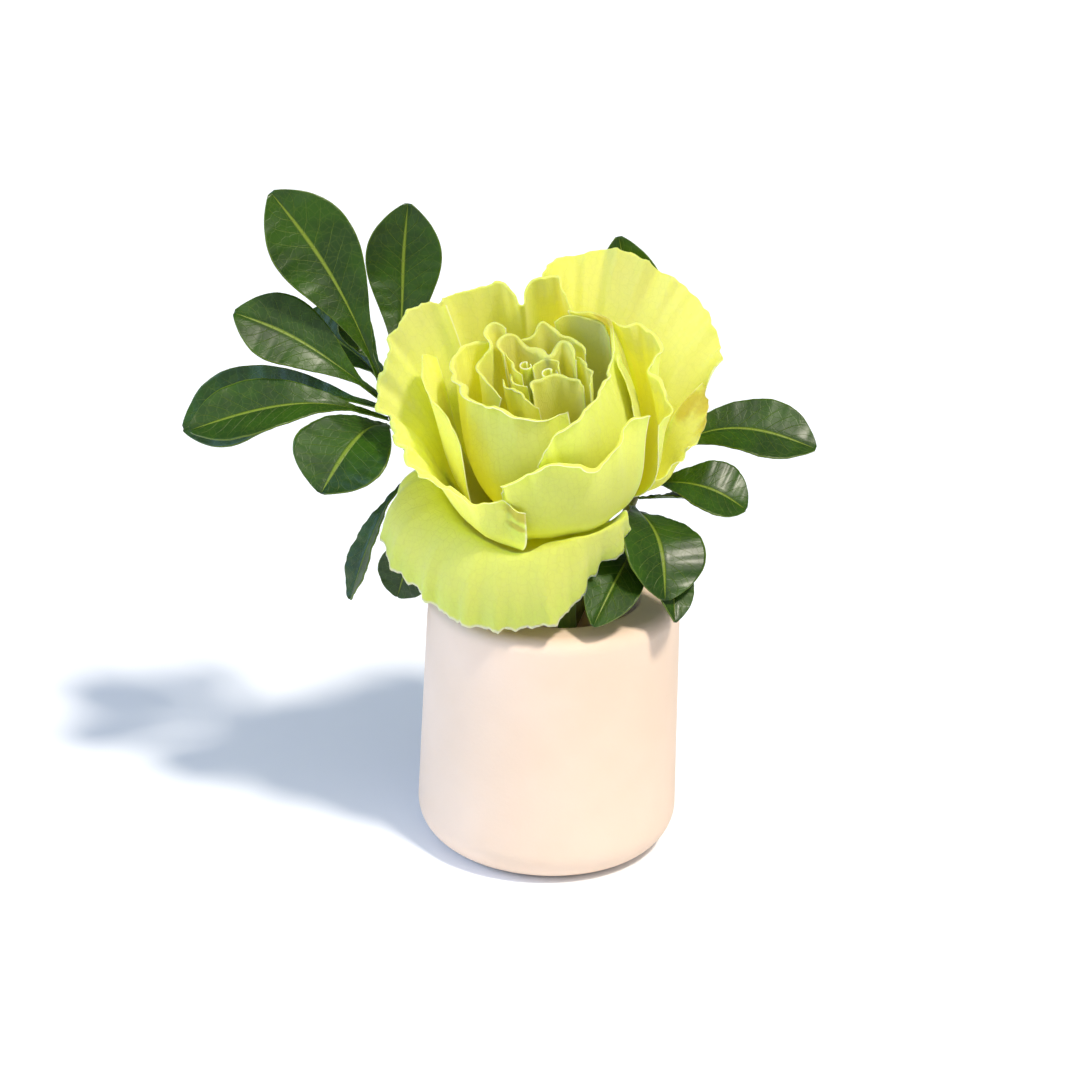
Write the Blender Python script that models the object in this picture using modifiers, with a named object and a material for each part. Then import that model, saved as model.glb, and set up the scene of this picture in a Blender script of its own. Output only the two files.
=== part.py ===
"""A cut garden rose and two sprigs of glossy evergreen leaves, standing in a wide little ceramic bud vase.

The script's unit is the metre, +Z is up, and the origin is the middle of the vase's foot. The tables that lay
out petals and leaves are in millimetres. Every petal, sepal, leaf and stem is a solid of its own.
"""

import math

import bmesh
import bpy
import numpy as np

MM = 0.001

# ---- Driving dimensions, in millimetres ----------------------------------------------------------

SEAT_GAP = 0.3  # what touching pieces keep between them

VASE_RADIUS = 38.2  # where the wall meets the foot's rounding
VASE_HEIGHT = 77.5
VASE_TAPER = 0.025  # what the radius loses for each millimetre of height
VASE_WALL = 4.0
FOOT_ROUND = 11.0
SHOULDER_ROUND = 4.5
MOUTH_RADIUS = 25.0
MOUTH_ROUND = 1.5

FLOWER_FOOT = (0.0, -6.0, 107.0)  # where the bloom's own axes start, at the foot of the receptacle
LEAN_FORWARD = 15.0  # degrees towards -Y
LEAN_LEFT = 8.0  # degrees towards -X
DOME_RADIUS = 11.0  # the receptacle, the dome inside the bloom that every petal grows from
DOME_HEIGHT = 13.0
BOWL_FLOOR = 17.0  # the height at which a petal of no radius would lie at the bottom of the bloom
BOWL_SINK = 0.48  # how much lower it lies for each millimetre of its layer's radius
PETAL_THICK = 0.45
PETAL_CLEAR = 1.35  # from the middle of one petal's thickness to the middle of the next
ROSE_STEM_RADIUS = 2.8
HIP = ((9.5, -3), (6.6, -7), (3.6, -11), (0, -12))  # radius and height, from under the dome to the stem

LEAF_THICK = 0.5
PETIOLE_WIDTH = 1.7
STALK_SHARE = 0.08  # how much of a leaf's length is bare stalk
LEAF_TIP = 0.6  # half the width of the very tip
LEAF_FOLD = 0.16  # how far the edges stand above the midrib, as a share of the half width

# ---- The bloom: azimuth in degrees (0 is the front, + the right), radius and height in millimetres -------

# The heart's petals stand close together, so their rims are given square: right, front, height.
HEART_PETALS = (
    ((-8.9, -4.6, 42.5), (-8.3, -2.7, 42), (-6.3, -0.6, 42), (-3.9, 0.9, 42)),
    ((-9.4, -11.0, 46), (-8.3, -9.2, 45), (-7.9, -6.2, 44.5), (-7.1, -3.7, 44), (-5.4, -2.4, 43.5)),
    ((-1.8, -4.4, 43), (-0.8, -6.4, 43.5), (1.8, -7.4, 44), (4.6, -6.6, 44), (5.7, -4.2, 43)),
    (
        (-2.9, 5.2, 42), (-2.6, 3.0, 43), (-0.6, 1.4, 43), (3.2, 0.6, 43), (6.6, 1.2, 43), (9.8, 3.2, 43),
        (11.6, 5.4, 43),
    ),
    ((-11.0, -1.5, 43), (-9.8, 1.4, 42), (-7.4, 3.4, 42), (-5.3, 5.8, 42), (-3.5, 8.2, 42), (-0.8, 9.8, 41)),
    (
        (-10.2, -8.5, 46), (-9.6, -12.4, 48.5), (-7.6, -14.0, 49), (-4.9, -12.8, 45.2), (-2.4, -10.9, 44),
        (0.6, -9.3, 43.5), (3.4, -9.4, 44), (6.0, -10.8, 46.7), (8.2, -7.2, 47), (9.4, -2.4, 46),
    ),
    ((9.8, -5.8, 45), (12.2, -2.8, 45), (13.8, 0.6, 45), (13.8, 4.0, 45), (13.0, 7.4, 44)),
    (
        (-6.4, -16.4, 46), (-3.4, -16.0, 46.2), (-1.2, -16.4, 47.5), (1.0, -16.9, 49.8), (3.4, -16.2, 48),
        (6.8, -14.0, 46.2), (10.2, -10.4, 46), (12.2, -6.6, 45),
    ),
)
HEART_SCROLLS = ((-4.7, -7.0, 0.7, 1.9, 44.5), (1.8, -3.7, 0.9, 2.6, 43.5))  # right, front, radii, height
SCROLL_START = 60.0  # degrees
SCROLL_TURN = 430.0
SCROLL_DROP = 1.5

# Layer radius (the radius at which the petal hugs the ball), then the rim from one side to the other.
PETALS = (
    (18.0, (
        (-147, 16, 50), (-141, 20, 52), (-135, 19.5, 50), (-125, 17, 48), (-114, 18.5, 46), (-104, 17.5, 45),
        (-92, 15, 44), (-80, 13.5, 42.5), (-64, 12.5, 41.5),
    )),
    (22.0, ((166, 18, 50), (156, 20, 51), (142, 21, 51), (130, 22, 50), (118, 22, 48))),
    (24.0, (
        (-138, 20, 46), (-126, 23, 47), (-112, 25, 47), (-98, 24.5, 45), (-84, 21.5, 45), (-66, 21.5, 45),
        (-46, 21, 45), (-30, 20.5, 45.5), (-14, 21.5, 44.5), (2, 21.5, 44), (20, 21, 44.5),
    )),
    (25.5, (
        (156, 17.5, 47), (142, 18, 47.5), (126, 19, 47.5), (110, 20, 46.5), (90, 19.5, 46), (70, 19.5, 46),
        (50, 21, 47), (34, 24, 47), (20, 27, 45.5), (9, 28, 43.5), (1, 28.5, 40), (-5, 28.5, 34),
    )),
    (27.0, ((98, 21, 46), (84, 22, 45), (76, 24, 42), (68, 26, 38))),
    (29.0, (
        (62, 32, 38), (50, 31, 40), (38, 30, 34), (27, 30, 31), (12, 30, 34), (-3, 30, 34), (-13, 30, 31),
        (-22, 30, 29), (-27, 29, 24),
    )),
    (29.5, ((-114, 32, 45), (-100, 33, 50), (-84, 32, 48), (-68, 31, 46), (-57, 30, 42), (-52, 30, 36))),
    (31.0, (
        (124, 22, 49), (116, 27, 50), (108, 32, 48), (100, 33, 45), (94, 30, 42.5), (88, 32, 39),
        (80, 34, 35), (72, 32, 31),
    )),
    (32.0, (
        (-124, 41, 55), (-114, 42.5, 53), (-103, 44, 46), (-92, 45, 38.5), (-80, 42, 37), (-66, 41, 33),
        (-52, 40, 29.5), (-38, 35, 25), (-24, 32, 22.5), (-14, 31, 19),
    )),
    (33.0, (
        (-130, 41, 50), (-144, 40, 52), (-156, 35, 54), (-166, 31, 54.5), (-171, 28, 50.5), (-178, 30, 54.5),
        (-187, 31, 56), (-196, 28, 54), (-203, 26, 49),
    )),
    (34.0, ((112, 47, 25), (105, 46, 19), (98, 41, 13), (90, 30, 7), (84, 22, 5))),
    (35.0, (
        (184, 36, 51), (173, 45, 52), (167, 50, 51), (159, 55, 50.5), (150, 57, 48), (140, 58, 44),
        (130, 59, 38), (120, 56, 33), (111, 47, 28),
    )),
    (36.0, ((-112, 36, 26), (-130, 43, 30), (-150, 44, 32), (-170, 40, 30), (-186, 34, 25))),
)

# The front petal turns right down, so the line it turns along is given too.
FRONT_PETAL = (
    (
        (-99, 47, 3), (-90, 50, -4), (-78, 49, -9), (-64, 45, -13), (-50, 42, -15), (-34, 41, -16),
        (-18, 38, -15), (-2, 35, -13), (14, 29, -9), (30, 26, -4), (46, 26, 0), (54, 22, 3),
    ),
    (
        (-96, 31, 15), (-86, 32, 13), (-74, 32, 11), (-60, 31, 9), (-46, 30, 8), (-31, 29, 7), (-16, 28, 7),
        (-2, 27, 7), (13, 26, 8), (28, 24, 8), (42, 22, 9), (52, 19, 9),
    ),
)
FRONT_PETAL_MIDDLE = -24.0  # its azimuth
FRONT_FOOT_SPREAD = 0.36  # its foot's width, and the next row's, as a share of the rim's
FRONT_RISE_SPREAD = 0.8
FRONT_FOOT_GAP = 0.9
FRONT_FOOT_HEIGHT = 0.5

SEPAL_AZIMUTHS = (-58, 14, 86, 158, 230)
SEPAL_ROWS = ((10.6, -1.5, 4.6), (12.6, -4.5, 4.9), (13.2, -11, 3.6), (12.4, -18, 2.0), (11.4, -25, 0.5))
SEPAL_BOW = 0.8  # how far a sepal's middle stands out from its edges; its rows are radius, height, half width

# ---- Leaves in millimetres: width, the way the upper side faces, and the midrib from stalk to tip ----

LEFT_LEAVES = (
    (25, (0.3, -0.9, 0.3), ((-50, 10, 133), (-58, 13, 150), (-70, 18, 170), (-84, 20, 188))),
    (21, (0.2, -0.8, 0.6), ((-50, 10, 130.5), (-64, 9, 141), (-79, 12, 149), (-94, 14, 154))),
    (18, (0.4, -0.9, 0.1), ((-50, 11, 135), (-58, 21, 139), (-67, 28, 143), (-76, 35, 146))),
    (24, (0.2, -0.7, 0.7), ((-49, 11, 128), (-70, 20, 128), (-90, 26, 122), (-111, 30, 112))),
    (20, (0.2, -0.5, 0.9), ((-48, 10, 125.5), (-68, 2, 132), (-86, 0, 130), (-105, -2, 124))),
    (29, (-0.1, -0.5, 0.9), ((-47, 10, 123), (-54, -6, 128), (-60, -16, 124), (-66, -24, 115))),
    (22, (0.1, -1.0, 0.1), ((-49, 11, 133), (-47, 25, 149), (-47, 32, 166), (-46, 34, 182))),
    (9, (-0.3, -0.9, 0.3), ((-49, 11, 129), (-44, 13, 139), (-45, 15, 146), (-45, 16, 152))),
    (10, (0.4, -0.9, 0.2), ((-50, 11, 137.5), (-55, 17, 142), (-60, 21, 148), (-63, 23, 154))),
    (14, (-0.9, -0.4, 0.3), ((-41, 9, 110), (-48, 4, 103), (-54, -2, 91), (-59, -6, 75))),
    (16, (-0.2, -0.9, 0.5), ((-34, 9, 99), (-39, 6, 93), (-43, 6, 82), (-46, 8, 70))),
)
RIGHT_LEAVES = (
    (20, (0.1, -0.6, 0.8), ((24, 14, 111), (41, 18, 121), (57, 17, 123), (74, 14, 119))),
    (19, (0.2, -0.6, 0.9), ((23, 13, 107), (36, 4, 111), (45, 1, 110), (54, 0, 105))),
    (17, (0.1, 0.2, 1.0), ((22, 13, 103), (33, 8, 105), (41, 7, 105), (49, 8, 103))),
    (25, (0.4, -0.8, 0.5), ((21, 12, 100), (25, -6, 104), (29, -18, 101), (31, -28, 88))),
    (16, (0.0, -0.9, 0.5), ((18, 11, 91), (21, -9, 95), (17, -24, 92), (11, -36, 83))),
    (21, (0.1, -1.0, 0.2), ((24, 15, 113), (24, 30, 129), (20, 38, 150), (15, 42, 172))),
    (13, (0.5, -0.7, 0.5), ((20, 12, 96), (30, -9, 95), (33, -20, 90), (34, -29, 82))),
)

# ---- Stems: the points that they pass through, and their radius there -----------------------------------

LEFT_STEM = (
    (9, 2, 4.9), (2, 5, 35), (-9, 8, 62), (-18, 9, 78), (-30, 10, 95), (-41, 10, 112), (-48, 10, 126),
    (-50, 11, 138),
)
LEFT_STEM_RADII = (1.6, 1.6, 1.6, 1.6, 1.5, 1.5, 1.5, 0.9)
RIGHT_STEM = (
    (-8, 6, 4.8), (-3, 9, 35), (5, 11, 60), (12, 11, 78), (18, 11, 92), (23, 13, 106), (25, 15, 115),
)
RIGHT_STEM_RADII = (1.6, 1.6, 1.6, 1.6, 1.5, 1.5, 0.9)
ROSE_STEM = ((4, -12, 4.7), (5, -9, 40), (4, -6, 70), (2.5, -4, 88), (1.2, -4.0, 97))

# ---- What the tables are measured along -----------------------------------------------------------

up = np.array([-math.sin(math.radians(LEAN_LEFT)), -math.sin(math.radians(LEAN_FORWARD)), 1.0])
FLOWER_UP = up / np.linalg.norm(up)
front = np.array([0, -1, 0]) - FLOWER_UP * -FLOWER_UP[1]
FLOWER_FRONT = front / np.linalg.norm(front)
FLOWER_RIGHT = np.cross(FLOWER_UP, FLOWER_FRONT)


def from_bloom(points):
    """Points given as right, front and height from the bloom's foot, in the row's frame, in metres."""
    points = np.asarray(points, float)
    axes = np.array([FLOWER_RIGHT, FLOWER_FRONT, FLOWER_UP])
    return (points @ axes + FLOWER_FOOT) * MM


def squared(azimuth, radius, height):
    """Right, front and height, from an azimuth in degrees, a radius and a height."""
    turn = np.radians(azimuth)
    return np.stack([radius * np.sin(turn), radius * np.cos(turn), height * np.ones_like(turn)], axis=-1)


def spline(knots, values, places):
    """The natural cubic spline through the values at the knots, read at the places."""
    knots, places = np.asarray(knots, float), np.asarray(places, float)
    values = np.asarray(values, float)
    flat = values.reshape(len(knots), -1)
    step = np.diff(knots)
    slope = np.diff(flat, axis=0) / step[:, None]
    system = np.eye(len(knots))
    bends = np.zeros_like(flat)
    for i in range(1, len(knots) - 1):
        system[i, i - 1 : i + 2] = step[i - 1], 2 * (step[i - 1] + step[i]), step[i]
        bends[i] = 6 * (slope[i] - slope[i - 1])
    bends = np.linalg.solve(system, bends)
    span = np.clip(np.searchsorted(knots, places, side="right") - 1, 0, len(step) - 1)
    b = ((places - knots[span]) / step[span])[:, None]
    a = 1 - b
    curve = a * flat[span] + b * flat[span + 1]
    curve += ((a**3 - a) * bends[span] + (b**3 - b) * bends[span + 1]) * step[span][:, None] ** 2 / 6
    return curve.reshape((len(places),) + values.shape[1:])


def travel(points):
    """How far along a row of points each one lies, from 0 to 1."""
    run = np.concatenate([[0], np.cumsum(np.linalg.norm(np.diff(points, axis=0), axis=1))])
    return run / run[-1]


# ---- Objects --------------------------------------------------------------------------------------


def start():
    for old in list(bpy.data.objects):
        bpy.data.objects.remove(old, do_unlink=True)
    for old in list(bpy.data.collections):
        bpy.data.collections.remove(old)
    collection = bpy.data.collections.new("rose_in_bud_vase")
    bpy.context.scene.collection.children.link(collection)
    return collection


def make_material(name, colour, roughness):
    material = bpy.data.materials.new(name)
    material.use_nodes = True
    shader = material.node_tree.nodes["Principled BSDF"]
    shader.inputs["Base Color"].default_value = (*colour, 1.0)
    shader.inputs["Roughness"].default_value = roughness
    shader.inputs["Metallic"].default_value = 0.0
    return material


def add_object(name, mesh, material, parent=None):
    piece = bpy.data.objects.new(name, mesh)
    mesh.materials.append(material)
    mesh.shade_smooth()
    mesh.set_sharp_from_angle(angle=math.radians(40))
    piece.parent = parent
    COLLECTION.objects.link(piece)
    return piece


def sheet(name, grid, thickness, material, parent):
    """A thin solid on a grid of points, in rows from its foot to its rim."""
    rows, columns = grid.shape[:2]
    shape = bmesh.new()
    corners = [[shape.verts.new(point) for point in row] for row in grid]
    for i in range(rows - 1):
        for j in range(columns - 1):
            shape.faces.new(
                (corners[i][j], corners[i][j + 1], corners[i + 1][j + 1], corners[i + 1][j])
            )
    mesh = bpy.data.meshes.new(name)
    shape.to_mesh(mesh)
    shape.free()
    piece = add_object(name, mesh, material, parent)
    shell = piece.modifiers.new("thickness", "SOLIDIFY")
    shell.thickness = thickness * MM
    shell.offset = 0
    shell.use_even_offset = True
    return piece


def rod(name, points, radii, material, parent):
    """A stem: a tube through the points, closed at both ends, as a mesh."""
    along = travel(np.array(points, float))
    places = np.linspace(0, 1, 3 * len(points))
    path = spline(along, points, places)
    thickness = np.interp(places, along, radii)
    curve = bpy.data.curves.new(name, "CURVE")
    curve.dimensions = "3D"
    curve.bevel_depth = 1.0
    curve.bevel_resolution = 2
    curve.use_fill_caps = True
    line = curve.splines.new("POLY")
    line.points.add(len(path) - 1)
    for point, place, radius in zip(line.points, path, thickness):
        point.co = (*(place * MM), 1.0)
        point.radius = radius * MM
    guide = bpy.data.objects.new(name + "_guide", curve)
    COLLECTION.objects.link(guide)
    bpy.context.view_layer.update()
    mesh = bpy.data.meshes.new_from_object(guide.evaluated_get(bpy.context.evaluated_depsgraph_get()))
    bpy.data.objects.remove(guide)
    shape = bmesh.new()
    shape.from_mesh(mesh)
    bmesh.ops.remove_doubles(shape, verts=shape.verts, dist=1e-6)
    bmesh.ops.recalc_face_normals(shape, faces=shape.faces)
    shape.to_mesh(mesh)
    shape.free()
    mesh.name = name
    mesh.materials.clear()
    return add_object(name, mesh, material, parent)


# ---- The vase -------------------------------------------------------------------------------------


def arc(centre, radius, start_angle, end_angle, steps):
    """Points (across, up) on part of a circle, with the angles in degrees from +across towards +up."""
    angles = np.radians(np.linspace(start_angle, end_angle, steps + 1))
    return [(centre[0] + radius * math.cos(a), centre[1] + radius * math.sin(a)) for a in angles]


def make_vase():
    """A thrown pot turned about Z: the outside from the lip down, the foot, then the inside back up."""
    top = VASE_RADIUS - VASE_TAPER * (VASE_HEIGHT - FOOT_ROUND)
    inner_round = FOOT_ROUND - VASE_WALL
    profile = arc((MOUTH_RADIUS + MOUTH_ROUND, VASE_HEIGHT - MOUTH_ROUND), MOUTH_ROUND, 180, 90, 3)
    profile += arc((top - SHOULDER_ROUND, VASE_HEIGHT - SHOULDER_ROUND), SHOULDER_ROUND, 90, 0, 5)
    profile += arc((VASE_RADIUS - FOOT_ROUND, FOOT_ROUND), FOOT_ROUND, 0, -90, 7)
    profile += [(0, 0), (0, VASE_WALL)]
    profile += arc((VASE_RADIUS - FOOT_ROUND, FOOT_ROUND), inner_round, -90, 0, 5)
    under_shoulder = VASE_HEIGHT - VASE_WALL - MOUTH_ROUND
    profile += [(top - VASE_WALL, under_shoulder - 3), (top - VASE_WALL - 3, under_shoulder)]
    profile += [(MOUTH_RADIUS, under_shoulder)]
    mesh = bpy.data.meshes.new("vase")
    ring = [(x * MM, 0.0, z * MM) for x, z in profile]
    last = len(ring) - 1
    mesh.from_pydata(ring, [(i, i + 1) for i in range(last)] + [(last, 0)], [])
    piece = add_object("vase", mesh, PORCELAIN)
    turn = piece.modifiers.new("turned", "SCREW")
    turn.steps = turn.render_steps = 48
    turn.use_merge_vertices = True
    turn.merge_threshold = 0.00001
    return piece


# ---- The rose -------------------------------------------------------------------------------------


def make_rose_stem():
    """Stem, hip and receptacle grew as one piece: the stem's tube joined to a turned hip and dome."""
    shape = bmesh.new()
    outline = [(0, DOME_HEIGHT)]
    for slope in np.radians(range(15, 91, 15)):
        outline.append((DOME_RADIUS * math.sin(slope), DOME_HEIGHT * math.cos(slope)))
    outline += HIP
    ring = [shape.verts.new(from_bloom((r, 0, h))) for r, h in outline]
    edges = [shape.edges.new(pair) for pair in zip(ring, ring[1:])]
    centre = from_bloom((0, 0, 0))
    bmesh.ops.spin(
        shape, geom=ring + edges, cent=centre, axis=FLOWER_UP, angle=math.tau, steps=20, use_merge=True
    )
    bmesh.ops.remove_doubles(shape, verts=shape.verts, dist=1e-6)
    bmesh.ops.recalc_face_normals(shape, faces=shape.faces)
    mesh = bpy.data.meshes.new("rose_stem")
    shape.to_mesh(mesh)
    shape.free()
    hip = add_object("rose_stem", mesh, STEM)
    tube = rod("rose_stem_tube", ROSE_STEM, [ROSE_STEM_RADIUS] * len(ROSE_STEM), STEM, None)
    tube.hide_render = True
    tube.display_type = "WIRE"
    COLLECTION.objects.unlink(tube)
    CUTTERS.objects.link(tube)
    join = hip.modifiers.new("stem", "BOOLEAN")
    join.operation = "UNION"
    join.solver = "EXACT"
    join.object = tube
    return hip


PETAL_SEAT = SEAT_GAP + PETAL_THICK / 2  # from the dome to the middle of a petal's thickness


def dome_height(radius):
    share = radius / (DOME_RADIUS + PETAL_SEAT)
    return (DOME_HEIGHT + PETAL_SEAT) * np.sqrt(np.clip(1 - share**2, 0, 1))


class Crowd:
    """How far out the petals placed so far reach, in each direction from the middle of the ball."""

    MIDDLE = np.array([0.0, 0.0, 22.0])
    CELL = 3.0  # degrees

    def __init__(self):
        self.out = np.zeros((round(360 / self.CELL), round(180 / self.CELL)))

    def cells(self, points):
        across = points - self.MIDDLE
        azimuth = np.degrees(np.arctan2(across[..., 0], across[..., 1])) % 360
        fall = np.degrees(np.arctan2(np.hypot(across[..., 0], across[..., 1]), across[..., 2]))
        turn = (azimuth / self.CELL).astype(int) % self.out.shape[0]
        return turn, np.clip((fall / self.CELL).astype(int), 0, self.out.shape[1] - 1)

    def add(self, points):
        np.maximum.at(self.out, self.cells(points), np.linalg.norm(points - self.MIDDLE, axis=-1))

    def clear(self, grid, passes=10):
        """The grid moved outwards, smoothly, until it is clear of the petals placed before it."""
        wide = np.maximum(self.out, np.maximum(np.roll(self.out, 1, axis=0), np.roll(self.out, -1, axis=0)))
        taller = wide.copy()
        taller[:, 1:] = np.maximum(taller[:, 1:], wide[:, :-1])
        taller[:, :-1] = np.maximum(taller[:, :-1], wide[:, 1:])
        away = grid - self.MIDDLE
        distance = np.linalg.norm(away, axis=-1)
        reach = taller[self.cells(grid)]
        need = np.maximum(reach + PETAL_CLEAR - distance, 0) * (reach > 0)
        grow = np.clip(np.linspace(0, FOOT_FREE, len(grid)), 0, 1)[:, None]
        need = need * grow
        push = need.copy()
        for _ in range(passes):
            padded = np.pad(push, 1, mode="edge")
            push = (padded[:-2, 1:-1] + padded[2:, 1:-1] + padded[1:-1, :-2] + padded[1:-1, 2:]) / 4
            push = np.maximum(push, need)
        push = push * grow
        return grid + away * (push / np.maximum(distance, 0.1))[..., None]


ROWS = (0.0, 0.3, 0.62, 0.85, 1.0)
NARROWING = (0.42, 0.78, 0.97, 1.0, 1.0)  # a petal's share of its full spread at each row
BOWL = (0.0, 0.72, 0.97, 1.0, 1.0)  # its distance from the axis, as a share of the layer's radius
RISE = (0.0, 0.05, 0.4, 0.76, 1.0)  # how much of the climb from the bowl's floor to the rim each row has made
FLARE = (0.0, 0.0, 0.06, 0.42, 1.0)  # how much of the way from the bowl to the rim it has gone
FOOT_SLOPES = (42.0, 88.0)  # where the first and last petals' feet sit on the dome, in degrees from its top
HEART_NARROWING = (0.43, 0.74, 0.93, 0.99, 1.0)
LOW_RIM = 15.0  # a rim below this height keeps its petal from bulging past it
FOOT_FREE = 20.0  # a petal is free to move from this many times less than its length above its foot


def petal_net(layer, rim, foot_slope):
    """Rows of points, foot to rim, for a petal that springs from the dome, cups the ball, then leaves it."""
    rim = np.array(rim, float)
    middle = (rim[0, 0] + rim[-1, 0]) / 2
    foot_radius = (DOME_RADIUS + PETAL_SEAT) * math.sin(math.radians(foot_slope))
    foot_height = (DOME_HEIGHT + PETAL_SEAT) * math.cos(math.radians(foot_slope))
    floor = BOWL_FLOOR - BOWL_SINK * layer
    widest = np.minimum(layer, rim[:, 1] + np.maximum(rim[:, 2] - LOW_RIM, 0))
    net = []
    for narrowing, bowl, rise, flare in zip(NARROWING, BOWL, RISE, FLARE):
        azimuth = middle + (rim[:, 0] - middle) * narrowing
        height = floor + (rim[:, 2] - floor) * rise
        radius = widest * bowl + (rim[:, 1] - widest * bowl) * flare
        if bowl == 0:
            height = np.full(len(rim), foot_height)
            radius = np.full(len(rim), foot_radius)
        net.append(squared(azimuth, radius, height))
    return np.array(net)


def heart_net(rim):
    """Rows for a petal of the heart: upright, drawn in evenly towards its foot on the dome."""
    rim = np.array(rim, float)
    net = []
    foot = dome_height(np.hypot(*(rim[:, :2] * HEART_NARROWING[0]).T))
    for row, share in zip(ROWS, HEART_NARROWING):
        place = rim * (share, share, 1)
        place[:, 2] = foot + (rim[:, 2] - foot) * row
        net.append(place)
    return np.array(net)


def scroll_rim(right, front, inner, outer, height):
    """The rim of a petal rolled up into a scroll, a little over one turn."""
    rim = []
    for t in np.linspace(0, 1, 10):
        turn = math.radians(SCROLL_START + SCROLL_TURN * t)
        radius = inner + (outer - inner) * t
        place = (right + radius * math.sin(turn), front + radius * math.cos(turn), height - SCROLL_DROP * t)
        rim.append(place)
    return rim


def fine(net, rows, columns):
    """The smooth surface through a net, as a grid of the given size."""
    across = travel(net[-1])
    net = np.moveaxis(spline(across, np.moveaxis(net, 1, 0), np.linspace(0, 1, columns)), 0, 1)
    return spline(ROWS, net, np.linspace(0, 1, rows))


FINE_ROWS, FINE_COLUMNS = 61, 121  # the surface that is pushed clear of its neighbours
HEART_ROWS, OPEN_ROWS, OPEN_COLUMNS, FRONT_COLUMNS = 6, 8, 12, 14  # the solid's own, coarser grid


def make_petals():
    nets = [(heart_net(scroll_rim(*scroll)), False, OPEN_COLUMNS, HEART_ROWS) for scroll in HEART_SCROLLS]
    nets += [(heart_net(rim), False, len(rim) + 2, HEART_ROWS) for rim in HEART_PETALS]
    slopes = np.linspace(*FOOT_SLOPES, len(PETALS))
    for slope, (layer, rim) in zip(slopes, PETALS):
        nets.append((petal_net(layer, rim, slope), True, OPEN_COLUMNS, OPEN_ROWS))
    nets.append((front_petal_net(), True, FRONT_COLUMNS, OPEN_ROWS))
    crowd = Crowd()
    for number, (net, moves, columns, rows) in enumerate(nets, 1):
        smooth = fine(net, FINE_ROWS, FINE_COLUMNS)
        if moves:
            smooth = crowd.clear(smooth)
        crowd.add(smooth)
        pick_rows = np.linspace(0, FINE_ROWS - 1, rows).round().astype(int)
        pick_columns = np.linspace(0, FINE_COLUMNS - 1, columns).round().astype(int)
        grid = smooth[np.ix_(pick_rows, pick_columns)]
        sheet(f"petal_{number:02d}", from_bloom(grid), PETAL_THICK, PETAL, HOLDER)


def front_petal_net():
    """Rows for the front petal: out under the ball, over the turn, and down to its rim."""
    rim, turn = (np.array(line, float) for line in FRONT_PETAL)
    off_middle = rim[:, 0] - FRONT_PETAL_MIDDLE
    foot = squared(
        FRONT_PETAL_MIDDLE + off_middle * FRONT_FOOT_SPREAD,
        np.full(len(rim), DOME_RADIUS + FRONT_FOOT_GAP),
        np.full(len(rim), FRONT_FOOT_HEIGHT),
    )
    rise = squared(
        FRONT_PETAL_MIDDLE + off_middle * FRONT_RISE_SPREAD, turn[:, 1] * 0.45 + 7, turn[:, 2] * 0.3 - 3
    )
    hang = squared(
        (rim[:, 0] + turn[:, 0]) / 2,
        rim[:, 1] * 0.62 + turn[:, 1] * 0.46,  # a little past the middle, so that the petal bows outwards
        (rim[:, 2] + turn[:, 2] * 1.4) / 2.4,
    )
    return np.array([foot, rise, squared(*turn.T), hang, squared(*rim.T)])


def make_sepals():
    """Five green sepals below the petals, turned back down along the hip."""
    radius, height, half = np.array(SEPAL_ROWS).T
    for number, azimuth in enumerate(SEPAL_AZIMUTHS, 1):
        middle = squared(np.full(len(half), azimuth), radius, height)
        turn = math.radians(azimuth)
        side = np.array([math.cos(turn), -math.sin(turn), 0])
        net = np.stack([middle + side * (share * half)[:, None] for share in (-1, 0, 1)], axis=1)
        net[:, 1] += squared(azimuth, SEPAL_BOW, 0)
        grid = spline(np.linspace(0, 1, len(half)), net, np.linspace(0, 1, 7))
        sheet(f"sepal_{number}", from_bloom(grid), PETAL_THICK, SEPAL, HOLDER)


# ---- The leaves -----------------------------------------------------------------------------------


def leaf_grid(width, facing, midrib, rows=11, columns=5):
    """A blade on its midrib: a narrow stalk that widens to a blunt, spoon-shaped end."""
    midrib = np.array(midrib, float)
    places = np.linspace(0, 1, rows)
    line = spline(travel(midrib), midrib, places)
    along = np.gradient(line, axis=0)
    along /= np.linalg.norm(along, axis=1)[:, None]
    side = np.cross(along, np.array(facing, float))
    side /= np.linalg.norm(side, axis=1)[:, None]
    face = np.cross(side, along)
    grown = np.clip((places - STALK_SHARE) / (1 - STALK_SHARE), 0, 1)
    half = width / 2 * np.sin(math.pi * grown**1.35 * 0.985) ** 0.75  # widest past its middle
    half = np.maximum(half, np.where(places < 0.3, PETIOLE_WIDTH / 2, LEAF_TIP))
    across = np.linspace(-1, 1, columns)
    fold = LEAF_FOLD * half[:, None] * np.abs(across)
    sideways = half[:, None] * across
    return (line[:, None] + side[:, None] * sideways[..., None] + face[:, None] * fold[..., None]) * MM


def seated(midrib, stem, radii):
    """The midrib with its first point moved to the stem's surface, on the side that the leaf grows to."""
    midrib = np.array(midrib, float)
    along = travel(np.array(stem, float))
    places = np.linspace(0, 1, 400)
    path = spline(along, stem, places)
    nearest = np.linalg.norm(path - midrib[0], axis=1).argmin()
    axis = np.gradient(path, axis=0)[nearest]
    axis /= np.linalg.norm(axis)
    out = midrib[1] - path[nearest]
    out -= axis * out.dot(axis)
    clear = np.interp(places[nearest], along, radii) + SEAT_GAP + LEAF_THICK
    midrib[0] = path[nearest] + out / np.linalg.norm(out) * clear
    return midrib


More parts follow.
